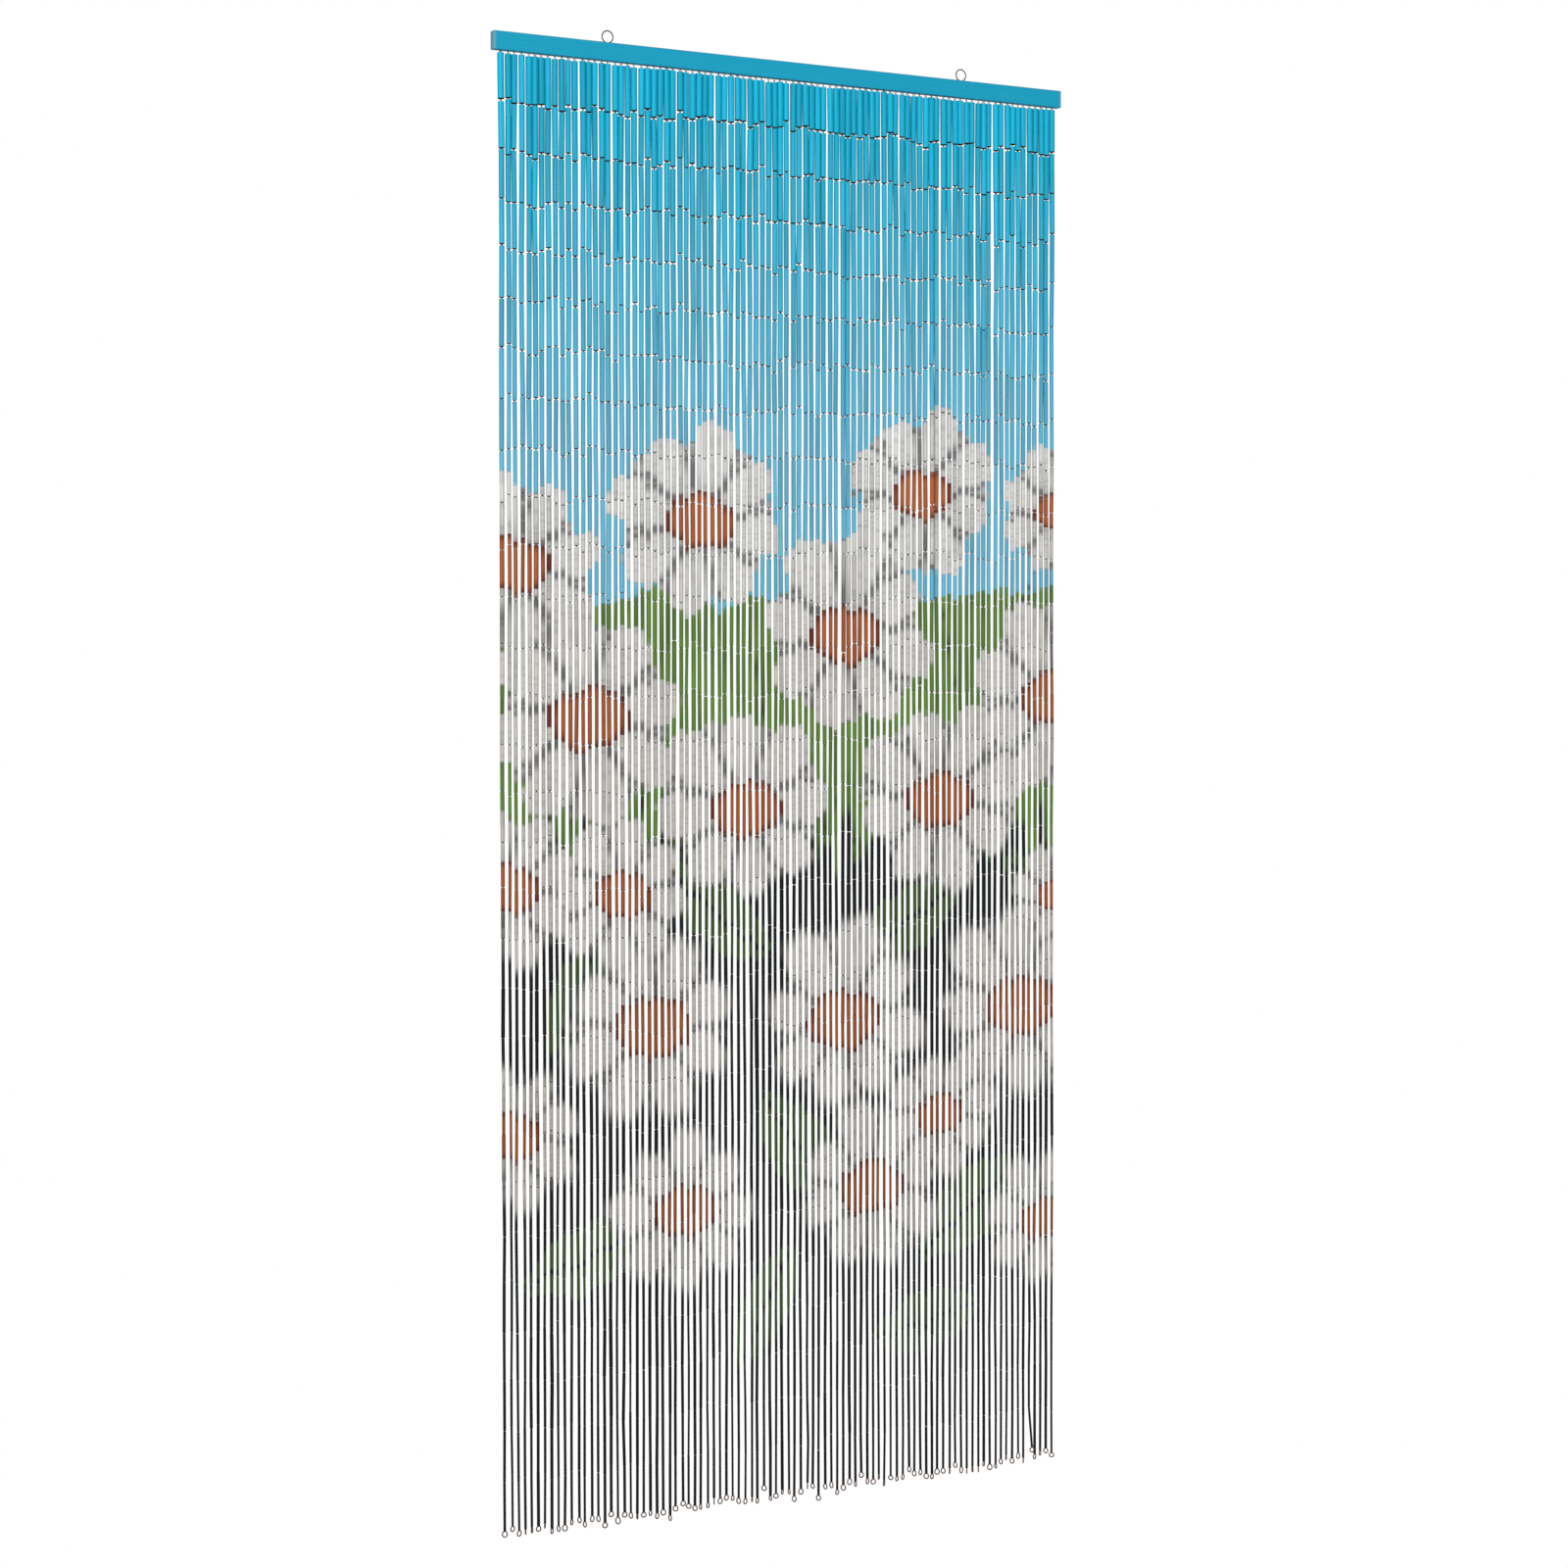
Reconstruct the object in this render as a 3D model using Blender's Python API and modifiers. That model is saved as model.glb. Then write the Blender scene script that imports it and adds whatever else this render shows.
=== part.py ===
"""Bamboo door curtain: a painted wooden rail that hangs by two screw eyes, and ninety strands of bamboo tubes.

Run it with blender --background --python part.py, or from Blender's text editor.
Metres, +Z up. X runs along the rail, -Y is the front, and the origin is midway between the two points
where the eyes bear on their hooks.
"""

from math import cos, exp, pi, radians, sin

import bmesh
import bpy
from mathutils import Vector

MM = 0.001
CLEARANCE = 0.3 * MM

# The rail is a flat slat with its arrises eased.
RAIL_LENGTH = 900 * MM
RAIL_DEPTH = 12 * MM
RAIL_HEIGHT = 24.4 * MM
RAIL_EASED_EDGE = 0.8 * MM

# A screw eye is one wire: a ring that stands on the rail, and a shank driven into it.
EYE_WIRE_RADIUS = 0.9 * MM
EYE_RING_RADIUS = 8.1 * MM
EYE_NECK = 0.4 * MM
EYE_FROM_CENTRE = 281 * MM
EYE_RING_STEPS = 24
EYE_END_GAP = radians(14)
SHANK_DEPTH = 13 * MM
PILOT_SIDES = 12

# Strands: thick tubes at the top, slender ones below.
STRANDS = 90
FIRST_STRAND_FROM_END = 12.5 * MM
TUBES_IN_STRAND = 30
TUBE_PITCH = 65.34 * MM
LINK_LENGTH = 2.5 * MM
TOP_TUBE_DIAMETER = 8.9 * MM
END_TUBE_DIAMETER = 3.9 * MM
THINNING_DEPTH = 520 * MM
HANGER_LENGTH = 4.6 * MM
HANGER_RADIUS = 0.6 * MM
SHOULDER = 0.4 * MM

# A strand's section is a square turned 15 degrees: as wide as a tube, seen from the front or from 30
# degrees to the left of it. Its corners stand this share of the tube's diameter from its middle.
SECTION_TURN = radians(-30)
CORNER_SHARE = 0.577

# The hangers share one narrow strip under the rail, which stands for their row of staples.
STRIP_DEPTH = 2.0 * MM
STRIP_HEIGHT = 1.2 * MM

# Each strand ends in a loop of its own wire, whose legs come out of the last tube. The corners are taken
# round the loop: distance across from the strand's line, and drop below the tube's end.
END_LOOP_WIRE_RADIUS = 0.65 * MM
END_LOOP_CORNERS = (
    (0.0 * MM, -1.5 * MM),
    (2.7 * MM, 2.6 * MM),
    (1.5 * MM, 7.6 * MM),
    (-1.5 * MM, 7.6 * MM),
    (-2.7 * MM, 2.6 * MM),
)

# Depths below the first tube's top at which a strand's thickness and sway are set: share of the strand's
# length, and the sideways drift there.
STATIONS = (
    (0.08, 0.30 * MM),
    (0.22, 0.60 * MM),
    (0.49, 1.00 * MM),
    (1.00, 1.40 * MM),
)
LENGTH_SPREAD = 6 * MM

# Heights, measured up from the hang line at zero
EYE_CENTRE_Z = EYE_WIRE_RADIUS - EYE_RING_RADIUS
RAIL_TOP_Z = EYE_CENTRE_Z - EYE_RING_RADIUS - EYE_WIRE_RADIUS - EYE_NECK
RAIL_BOTTOM_Z = RAIL_TOP_Z - RAIL_HEIGHT
STRIP_TOP_Z = RAIL_BOTTOM_Z - CLEARANCE
FIRST_TUBE_Z = RAIL_BOTTOM_Z - HANGER_LENGTH
STRAND_LENGTH = TUBES_IN_STRAND * TUBE_PITCH - LINK_LENGTH
STRAND_SPACING = (RAIL_LENGTH - 2 * FIRST_STRAND_FROM_END) / (STRANDS - 1)

# Paint and wire: colour, metallic and roughness
RAIL_PAINT = ((0.016, 0.365, 0.560, 1.0), 0.0, 0.45)
BAMBOO_PAINT = ((0.040, 0.420, 0.640, 1.0), 0.0, 0.50)
STEEL_WIRE = ((0.400, 0.385, 0.360, 1.0), 1.0, 0.35)


def clear_scene():
    for thing in list(bpy.data.objects):
        bpy.data.objects.remove(thing)


def new_collection(name):
    collection = bpy.data.collections.new(name)
    bpy.context.scene.collection.children.link(collection)
    return collection


def new_material(name, finish):
    colour, metallic, roughness = finish
    material = bpy.data.materials.new(name)
    material.use_nodes = True
    shader = material.node_tree.nodes["Principled BSDF"]
    shader.inputs["Base Color"].default_value = colour
    shader.inputs["Metallic"].default_value = metallic
    shader.inputs["Roughness"].default_value = roughness
    return material


def mesh_object(name, bm, collection, material=None):
    mesh = bpy.data.meshes.new(name)
    bm.to_mesh(mesh)
    bm.free()
    made = bpy.data.objects.new(name, mesh)
    collection.objects.link(made)
    if material:
        mesh.materials.append(material)
    return made


def block(name, size, centre, collection, material=None):
    """A box of the given size about its centre."""
    bm = bmesh.new()
    bmesh.ops.create_cube(bm, size=1.0)
    bmesh.ops.scale(bm, vec=Vector(size), verts=bm.verts)
    made = mesh_object(name, bm, collection, material)
    made.location = centre
    return made


def as_helper(made):
    """Marks a cutter or another shape that only helps to build the part."""
    made.hide_render = True
    made.display_type = "WIRE"
    return made


def wire_curve(name, collection, sides_step):
    """A curve object whose point radii are in millimetres. sides_step 0 gives four sides, and 2 gives eight."""
    curve = bpy.data.curves.new(name, "CURVE")
    curve.dimensions = "3D"
    curve.bevel_depth = MM
    curve.bevel_resolution = sides_step
    curve.use_fill_caps = True
    made = bpy.data.objects.new(name, curve)
    collection.objects.link(made)
    return made


def add_spline(curve, points, closed=False, tilt=0.0):
    """Adds a run of (position, radius) pairs to a curve."""
    spline = curve.splines.new("POLY")
    spline.points.add(len(points) - 1)
    for point, (position, radius) in zip(spline.points, points):
        point.co = (*position, 1.0)
        point.radius = radius / MM
        point.tilt = tilt
    spline.use_cyclic_u = closed


def curve_to_mesh(made, collection):
    """Replaces a curve object with the mesh it shows, its caps welded."""
    bpy.context.view_layer.update()
    seen = made.evaluated_get(bpy.context.evaluated_depsgraph_get())
    mesh = bpy.data.meshes.new_from_object(seen)
    solid = bpy.data.objects.new(made.name + "_mesh", mesh)
    solid.matrix_world = made.matrix_world
    collection.objects.link(solid)
    bm = bmesh.new()
    bm.from_mesh(mesh)
    bmesh.ops.remove_doubles(bm, verts=bm.verts, dist=0.01 * MM)
    bm.to_mesh(mesh)
    bm.free()
    bpy.data.objects.remove(made)
    return solid


def make_rail(part, helpers, paint):
    rail = block(
        "rail",
        (RAIL_LENGTH, RAIL_DEPTH, RAIL_HEIGHT),
        (0, 0, RAIL_TOP_Z - RAIL_HEIGHT / 2),
        part,
        paint,
    )
    eased = rail.modifiers.new("eased_edges", "BEVEL")
    eased.width = RAIL_EASED_EDGE
    eased.segments = 2
    for side in (-1, 1):
        cut = rail.modifiers.new("pilot_hole", "BOOLEAN")
        cut.operation = "DIFFERENCE"
        cut.object = pilot_hole(side, helpers)
    return rail


def pilot_hole(side, helpers):
    """The hole that a shank is driven into: its depth below the rail's top, and as much above."""
    depth = SHANK_DEPTH + CLEARANCE
    bm = bmesh.new()
    bmesh.ops.create_cone(
        bm,
        cap_ends=True,
        segments=PILOT_SIDES,
        radius1=EYE_WIRE_RADIUS + CLEARANCE,
        radius2=EYE_WIRE_RADIUS + CLEARANCE,
        depth=2 * depth,
    )
    cutter = mesh_object("pilot_cutter", bm, helpers)
    cutter.location = (side * EYE_FROM_CENTRE, 0, RAIL_TOP_Z)
    return as_helper(cutter)


def make_screw_eye(name, side, part, steel):
    """A wire up out of the rail and once round a ring, which ends just short of the shank."""
    centre = Vector((side * EYE_FROM_CENTRE, 0, EYE_CENTRE_Z))
    points = [(Vector((centre.x, 0, RAIL_TOP_Z - SHANK_DEPTH)), EYE_WIRE_RADIUS)]
    for step in range(EYE_RING_STEPS + 1):
        turn = -pi / 2 + (2 * pi - EYE_END_GAP) * step / EYE_RING_STEPS
        around = Vector((cos(turn), 0, sin(turn))) * EYE_RING_RADIUS
        points.append((centre + around, EYE_WIRE_RADIUS))
    eye = wire_curve(name, part, sides_step=2)
    add_spline(eye.data, points)
    eye.data.materials.append(steel)
    return eye


def tube_diameter(depth):
    """Bamboo is graded by thickness: the diameter falls off with depth below the first tube's top."""
    extra = TOP_TUBE_DIAMETER - END_TUBE_DIAMETER
    return END_TUBE_DIAMETER + extra * exp(-depth / THINNING_DEPTH)


def scatter(strand, row):
    """A fixed number from -1 to 1 for each strand and row, with no visible order."""
    wild = sin(strand * 12.9898 + row * 78.233) * 43758.5453
    return 2 * (wild % 1.0) - 1


def strand_length(strand):
    return STRAND_LENGTH + LENGTH_SPREAD * scatter(strand, 1)


def strand_points(strand):
    """The hanger, the shoulder of the first tube, and the thinning run of tubes."""
    x = STRAND_SPACING * strand - (RAIL_LENGTH / 2 - FIRST_STRAND_FROM_END)
    length = strand_length(strand)
    corner = CORNER_SHARE * tube_diameter(0)
    points = [
        (Vector((x, 0, STRIP_TOP_Z - STRIP_HEIGHT / 2)), HANGER_RADIUS),
        (Vector((x, 0, FIRST_TUBE_Z)), HANGER_RADIUS),
        (Vector((x, 0, FIRST_TUBE_Z - SHOULDER)), corner),
    ]
    for row, (share, drift) in enumerate(STATIONS, start=2):
        sway = Vector((scatter(strand, row), scatter(strand, row + 10), 0)) * drift
        depth = length * share
        corner = CORNER_SHARE * tube_diameter(depth)
        points.append((Vector((x, 0, FIRST_TUBE_Z - depth)) + sway, corner))
    return points


def end_loop_points(strand, tube_end):
    """The loop below the last tube, turned about the strand by a different angle on each one."""
    turn = pi * scatter(strand, 20)
    points = []
    for across, drop in END_LOOP_CORNERS:
        away = Vector((across * cos(turn), across * sin(turn), -drop))
        points.append((tube_end + away, END_LOOP_WIRE_RADIUS))
    return points


def make_strands(part, helpers, paint):
    """All the strands and their loops, joined at the roots by the strip under the rail."""
    run = wire_curve("strand_runs", helpers, sides_step=0)
    for strand in range(STRANDS):
        points = strand_points(strand)
        add_spline(run.data, points, tilt=SECTION_TURN)
        tube_end = points[-1][0]
        add_spline(run.data, end_loop_points(strand, tube_end), closed=True)
    runs = as_helper(curve_to_mesh(run, helpers))
    span = RAIL_LENGTH - 2 * FIRST_STRAND_FROM_END + 2 * STRIP_DEPTH
    strip = block(
        "bamboo_strands",
        (span, STRIP_DEPTH, STRIP_HEIGHT),
        (0, 0, STRIP_TOP_Z - STRIP_HEIGHT / 2),
        part,
        paint,
    )
    joined = strip.modifiers.new("joined_roots", "BOOLEAN")
    joined.operation = "UNION"
    joined.use_self = True
    joined.object = runs
    return strip


def main():
    clear_scene()
    part = new_collection("bamboo_door_curtain")
    helpers = new_collection("cutters")
    rail_paint = new_material("rail_paint", RAIL_PAINT)
    bamboo_paint = new_material("bamboo_paint", BAMBOO_PAINT)
    steel = new_material("steel_wire", STEEL_WIRE)
    make_rail(part, helpers, rail_paint)
    make_screw_eye("screw_eye_left", -1, part, steel)
    make_screw_eye("screw_eye_right", 1, part, steel)
    make_strands(part, helpers, bamboo_paint)


main()
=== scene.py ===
"""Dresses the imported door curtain: bamboo tubes, wire links and hangers, painted rail, and a studio.

Metres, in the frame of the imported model: X along the rail, -Y towards the front, Z up, zero at the hang line.
"""

from math import pi, radians

import bpy
import numpy as np
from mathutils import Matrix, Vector


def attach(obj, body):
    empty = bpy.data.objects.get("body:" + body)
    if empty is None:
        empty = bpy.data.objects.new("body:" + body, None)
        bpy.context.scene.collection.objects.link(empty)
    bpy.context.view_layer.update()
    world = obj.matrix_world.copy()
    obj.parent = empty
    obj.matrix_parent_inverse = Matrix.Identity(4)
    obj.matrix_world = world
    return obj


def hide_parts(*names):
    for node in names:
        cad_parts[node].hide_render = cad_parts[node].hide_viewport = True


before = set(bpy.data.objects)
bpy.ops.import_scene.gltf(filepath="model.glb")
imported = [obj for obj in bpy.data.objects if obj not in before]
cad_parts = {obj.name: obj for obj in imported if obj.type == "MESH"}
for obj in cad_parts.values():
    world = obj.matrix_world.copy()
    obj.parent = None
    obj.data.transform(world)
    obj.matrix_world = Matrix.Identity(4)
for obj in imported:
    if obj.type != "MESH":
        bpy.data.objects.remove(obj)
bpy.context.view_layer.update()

MM = 0.001
SEED = 20

# Rail and strands, as in the solids
RAIL_LENGTH = 900 * MM
RAIL_DEPTH = 12 * MM
RAIL_TOP = -16.6 * MM
RAIL_BOTTOM = -41.0 * MM
STRANDS = 90
FIRST_STRAND_FROM_END = 12.5 * MM
STRAND_SPACING = (RAIL_LENGTH - 2 * FIRST_STRAND_FROM_END) / (STRANDS - 1)
STRANDS_IN_PIECE = 6

# Bamboo tubes: thick at the top of the curtain, slender below
TUBES = 30
TUBE_PITCH = 65.34 * MM
FIRST_TUBE = -45.2 * MM
DIAMETER_DEPTHS = (0.03, 0.10, 0.23, 0.45, 0.75, 1.10, 1.50, 1.75, 1.95)
DIAMETERS = (8.95, 8.08, 7.22, 6.42, 5.80, 5.10, 4.38, 3.90, 3.58)
DIAMETER_SPREAD = 0.04
STRAND_SPREAD = 0.10
STRAND_SPREAD_MOST = 0.25
STRAND_TELLS_AT_TOP = 0.25
STRAND_TELLS_DEPTH = 1.6
SLIMMEST_SHARE = 0.72
WIDEST_SHARE = 1.30
WIDEST_SHARE_AT_TOP = 1.04
CROWDED_DEPTH = 0.3
FIRST_TUBE_SHORTER = 2.5 * MM
BORE_SHARE = 0.78
TUBE_SIDES = 10
TUBE_RINGS = 7
MAP_COLUMNS = 15
EASED_SHARE = 0.11
# Painted shade at the tubes' cut ends: a dark brown band at the lower end, wider on thicker tubes, with a least
# width and a random share of its own
END_SHADE_SHARE = 0.22
END_SHADE_FROM = 1.4 * MM
END_SHADE_LEAST = 0.2 * MM
END_SHADE_RANGE = (0.3, 1.5)

# How far the strands wander: along their length, across, and front to back
LENGTH_SPREAD = 3.4 * MM
LENGTH_HOLD = 0.66
HANGER_SPREAD = 0.7 * MM
STAPLE_SPREAD = 0.75 * MM
STAPLE_HOLD = 0.93
SWAY_SPREAD = 0.32 * MM
SWAY_HOLD = 0.75
CLING = (1.1 * MM, 1.1 * MM, 1.1 * MM, 0.8 * MM, 0.5 * MM)
CLINGING_UNDER = 0.7 * MM
LEANING_SHARE = 0.12
PUSHING_ROUNDS = 60
TOP_GAP = 2.0 * MM
END_GAP = 0.55 * MM
GAP_CLOSING = 7.5
GAP_SPREAD = 0.45
GAP_RANGE = (0.4, 2.0)

# Strands that hang crooked: strand, first link that is pushed aside, and the push of that and later links
CROOKED = (
    (18, 27, (-1.0, -2.2, -0.4, 0.3)),
    (47, 28, (0.9, 2.1, 1.0)),
    (85, 28, (-0.7, -0.8, 5.6)),
)

# Wire loops: radius of the wire, half the width of the loop, and its reach past the tube's end
LINK_WIRE = 0.40 * MM
LINK_HALF_WIDTH = 1.15 * MM
LINK_START = 1.2 * MM
LINK_STEPS = 8
LINK_SIDES = 4
END_WIRE = 0.9 * MM
END_HALF_WIDTH = 3.3 * MM
END_START = 0.2 * MM
END_REACH = 7.4 * MM
END_REACH_SPREAD = 0.7 * MM
END_STEPS = 14
END_POINTED = 0.25
HANGER_WIRE = 0.35 * MM
STAPLE_HALF_WIDTH = 1.7 * MM
HOOK_HALF_WIDTH = 1.5 * MM
HANGER_START = 2.0 * MM
HANGER_STEPS = 12
HANGER_TURN = 0.5
WIRE_SIDES = 5

# Screw eyes: one wire each, as in the solids
EYE_FROM_CENTRE = 281 * MM
EYE_WIRE = 0.9 * MM
EYE_RING = 8.1 * MM
EYE_BEDDED = 0.8 * MM
EYE_CENTRE = RAIL_TOP + EYE_RING + EYE_WIRE - EYE_BEDDED
EYE_SHANK = 13 * MM
EYE_END_GAP = radians(7)
EYE_SIDES = 12
EYE_SHANK_POINTS = 8
EYE_RING_POINTS = 60
EYE_TIPS = (0.02, 0.6, 0.9)

# Studio: the floor, the world's light, the key light and the camera
FLOOR_HALF_WIDTH = 60.0
FLOOR_HEIGHT = -2.35
WORLD_SEEN = 1.0
WORLD_LIGHTING = 0.34
KEY_PLACE = (-11.2, -15.4, 4.4)
KEY_TARGET = (0.0, 0.0, -1.0)
KEY_SIZE = 6.0
KEY_POWER = 2620.0
CAMERA_PLACE = (-2.1772, -3.8476, -0.8703)
CAMERA_TURN = (radians(90 - 1.047), radians(0.08), radians(-29.386))
CAMERA_LENS = 72.98
CAMERA_SHIFT = -0.03


# Meshes


def make_mesh(name, points, quads):
    """A mesh object of its own, from an array of points and one of four corners a face."""
    points = np.ascontiguousarray(points, np.float32).reshape(-1, 3)
    quads = np.ascontiguousarray(quads, np.int32).reshape(-1, 4)
    mesh = bpy.data.meshes.new(name)
    mesh.vertices.add(len(points))
    mesh.vertices.foreach_set("co", points.ravel())
    mesh.loops.add(quads.size)
    mesh.loops.foreach_set("vertex_index", quads.ravel())
    mesh.polygons.add(len(quads))
    mesh.polygons.foreach_set("loop_start", np.arange(0, quads.size, 4, dtype=np.int32))
    mesh.update(calc_edges=True)
    mesh.validate()
    mesh.shade_smooth()
    piece = bpy.data.objects.new(name, mesh)
    bpy.context.scene.collection.objects.link(piece)
    return piece


def add_values(piece, name, values):
    """Stores one number a vertex, which the materials read by this name."""
    layer = piece.data.attributes.new(name, "FLOAT", "POINT")
    layer.data.foreach_set("value", np.ascontiguousarray(values, np.float32).ravel())


def wrapped_quads(copies, rings, sides, closed):
    """Quads of many tubes alike. Corner (ring, side) joins (ring, side + 1), (ring + 1, side + 1) and
    (ring + 1, side). Sides count round to the first, and so do rings where the tube is closed on itself."""
    ring = np.arange(rings if closed else rings - 1)[:, None]
    side = np.arange(sides)[None, :]
    after = (ring + 1) % rings
    beside = (side + 1) % sides
    corners = (ring * sides + side, ring * sides + beside, after * sides + beside, after * sides + side)
    one = np.stack(corners, axis=-1).reshape(-1, 4)
    return (one[None] + np.arange(copies)[:, None, None] * rings * sides).reshape(-1, 4)


def lid_quads(first, sides):
    """Quads that close a ring of an even number of corners, all from its first corner."""
    step = np.arange(1, sides - 2, 2)[:, None]
    return first + np.concatenate((0 * step, step, step + 1, step + 2), axis=1)


def unit(vectors):
    """Each vector over its own length."""
    return vectors / np.linalg.norm(vectors, axis=-1, keepdims=True)


def wire_points(path, normal, radius, sides):
    """A wire along closed or open paths that each lie in a plane. At each point of a path, the wire's section
    is a circle spanned by the plane's normal and by the cross product of that normal with the path's run."""
    run = unit(np.roll(path, -1, axis=-2) - np.roll(path, 1, axis=-2))
    across = np.cross(np.broadcast_to(normal, run.shape), run)
    turn = np.arange(sides) * 2 * pi / sides
    circle = across[..., None, :] * np.cos(turn)[:, None] + normal[..., None, :] * np.sin(turn)[:, None]
    return path[..., None, :] + radius * circle


# Where the strands hang


def wander(rng, shape, spread, hold):
    """A walk down each strand that is pulled back: each step is the last times hold, plus a random number."""
    steps = rng.normal(0.0, spread, shape)
    walk = np.zeros(shape)
    for link in range(1, shape[1]):
        walk[:, link] = hold * walk[:, link - 1] + steps[:, link]
    return walk


def hang_strands(rng):
    """The middle of every link, and of both ends of a strand: strands by links by (x, y, z). Links lie a
    tube's pitch apart, and wander along the strand with the lengths of the tubes and a little across it. A
    strand's staple stands off its even place by a random length, which fades by one share at each link."""
    shape = (STRANDS, TUBES + 1)
    links = np.zeros((*shape, 3))
    place = np.arange(STRANDS) * STRAND_SPACING - (RAIL_LENGTH / 2 - FIRST_STRAND_FROM_END)
    links[..., 0] = place[:, None] + wander(rng, shape, SWAY_SPREAD, SWAY_HOLD)
    links[..., 1] = wander(rng, shape, SWAY_SPREAD, SWAY_HOLD)
    own = wander(rng, shape, LENGTH_SPREAD, LENGTH_HOLD)
    links[..., 2] = FIRST_TUBE - np.arange(TUBES + 1) * TUBE_PITCH + own
    links[:, 1:, 2] += FIRST_TUBE_SHORTER
    staple = rng.normal(0.0, STAPLE_SPREAD, (STRANDS, 1))
    links[..., 0] += staple * STAPLE_HOLD ** np.arange(TUBES + 1)
    links[:, 0, 2] += rng.normal(0.0, HANGER_SPREAD, STRANDS)
    for strand, first, pushes in CROOKED:
        links[strand, first : first + len(pushes), 0] += np.array(pushes) * MM
    return links


def tube_width(depth):
    """The mean diameter of the tubes at each depth under the first: straight lines between known places."""
    return np.interp(depth, DIAMETER_DEPTHS, DIAMETERS) * MM


def part_strands(rng, links):
    """Pushes strands apart that would cut into their neighbours, and lets near ones lean together. At each
    link, two strands side by side move by half of what their distance and the tubes' width differ by, over
    and over. They do so across a gap only if they cling: then they are near each other at the topmost links,
    and at a few links it is the other way round, so that a tube leans."""
    width = tube_width(np.arange(TUBES + 1) * TUBE_PITCH)
    gap = np.diff(links[..., 0], axis=0) - width
    clings = gap[:, : len(CLING)].mean(axis=1, keepdims=True) < CLINGING_UNDER
    leans = rng.random((len(gap), len(CLING))) < LEANING_SHARE
    cling = np.zeros(gap.shape)
    cling[:, : len(CLING)] = np.where(clings ^ leans, CLING, 0.0)
    for _ in range(PUSHING_ROUNDS):
        short = width - np.diff(links[..., 0], axis=0)
        short = np.where(short > -cling, short, 0.0) / 2
        links[:-1, :, 0] -= short
        links[1:, :, 0] += short


def tube_ends(rng, links):
    """The top and bottom of every tube: half a gap short of the links, along the line between them. The gaps
    shrink down the curtain, and each has a random share of its own."""
    row = np.arange(links.shape[1])
    mean = END_GAP + (TOP_GAP - END_GAP) * np.exp(-row / GAP_CLOSING)
    gap = mean * np.clip(rng.normal(1.0, GAP_SPREAD, links.shape[:2]), *GAP_RANGE)
    gap[:, 0] = 0.0
    gap[:, -1] = 0.0
    along = unit(links[:, 1:] - links[:, :-1])
    top = links[:, :-1] + along * gap[:, :-1, None] / 2
    bottom = links[:, 1:] - along * gap[:, 1:, None] / 2
    return top, bottom, along


def tube_radius(rng, top, bottom):
    """Half the tubes' width at their depth, times two random shares near one: the tube's own, and its
    strand's, which tells more the lower the tube hangs."""
    depth = FIRST_TUBE - (top[..., 2] + bottom[..., 2]) / 2
    share = rng.normal(1.0, DIAMETER_SPREAD, depth.shape)
    strand = rng.normal(0.0, STRAND_SPREAD, (STRANDS, 1))
    strand = np.clip(strand, -STRAND_SPREAD_MOST, STRAND_SPREAD_MOST)
    share = share + strand * np.clip(STRAND_TELLS_AT_TOP + depth / STRAND_TELLS_DEPTH, 0.0, 1.0)
    most = np.where(depth < CROWDED_DEPTH, WIDEST_SHARE_AT_TOP, WIDEST_SHARE)
    return tube_width(depth) / 2 * np.clip(share, SLIMMEST_SHARE, most)


# Bamboo tubes


def tube_points(top, bottom, along, radius, roll, end_shade):
    """Hollow tubes of seven rings: down the outside, over the eased end, up the bore and over the other end.
    A ring's point is the axis point plus radius times the cosine and sine of its turn on two cross axes."""
    side = unit(np.cross(along, np.array((0.0, 1.0, 0.0))))
    front = np.cross(along, side)
    length = np.linalg.norm(bottom - top, axis=-1)
    bore = radius * BORE_SHARE
    eased = radius * EASED_SHARE
    # Where the band of painted shade at the lower end begins, as a drop from the top
    end_shade = length - eased - end_shade
    rings = np.stack((radius, radius, radius, radius - eased, bore, bore, radius - eased), axis=-1)
    drop = np.stack((eased, end_shade, length - eased, length, length, 0 * length, 0 * length), axis=-1)
    turn = np.arange(TUBE_SIDES) * 2 * pi / TUBE_SIDES + roll[..., None]
    circle = side[..., None, :] * np.cos(turn)[..., None] + front[..., None, :] * np.sin(turn)[..., None]
    axis = top[..., None, :] + along[..., None, :] * drop[..., None]
    return axis[..., None, :] + rings[..., None, None] * circle[..., None, :, :]


def lay_out_tubes(piece, count, columns):
    """A flat map with a rectangle for each tube, left to right and up. In one, u runs round the tube, and v
    runs over its rings, with most of the height for the outside wall."""
    rows = -(-count // columns)
    cell = np.array((1.0 / columns, 1.0 / rows))
    rings = np.array((0.04, 0.76, 0.80, 0.83, 0.88, 0.94, 0.98, 1.0))
    ring = np.arange(TUBE_RINGS)[:, None, None]
    side = np.arange(TUBE_SIDES)[None, :, None]
    step_round = np.array((0, 1, 1, 0))
    step_on = np.array((0, 0, 1, 1))
    u = 0.04 + 0.92 * (side + step_round) / TUBE_SIDES + 0 * ring
    v = rings[ring + step_on] + 0 * side
    one = np.stack((u, v), axis=-1)
    tube = np.arange(count)
    corner = np.stack((tube % columns, tube // columns), axis=-1) * cell
    places = corner[:, None, None, None, :] + one[None] * cell * 0.98
    layer = piece.data.uv_layers.new(name="OFBake")
    layer.uv.foreach_set("vector", places.astype(np.float32).ravel())


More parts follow.
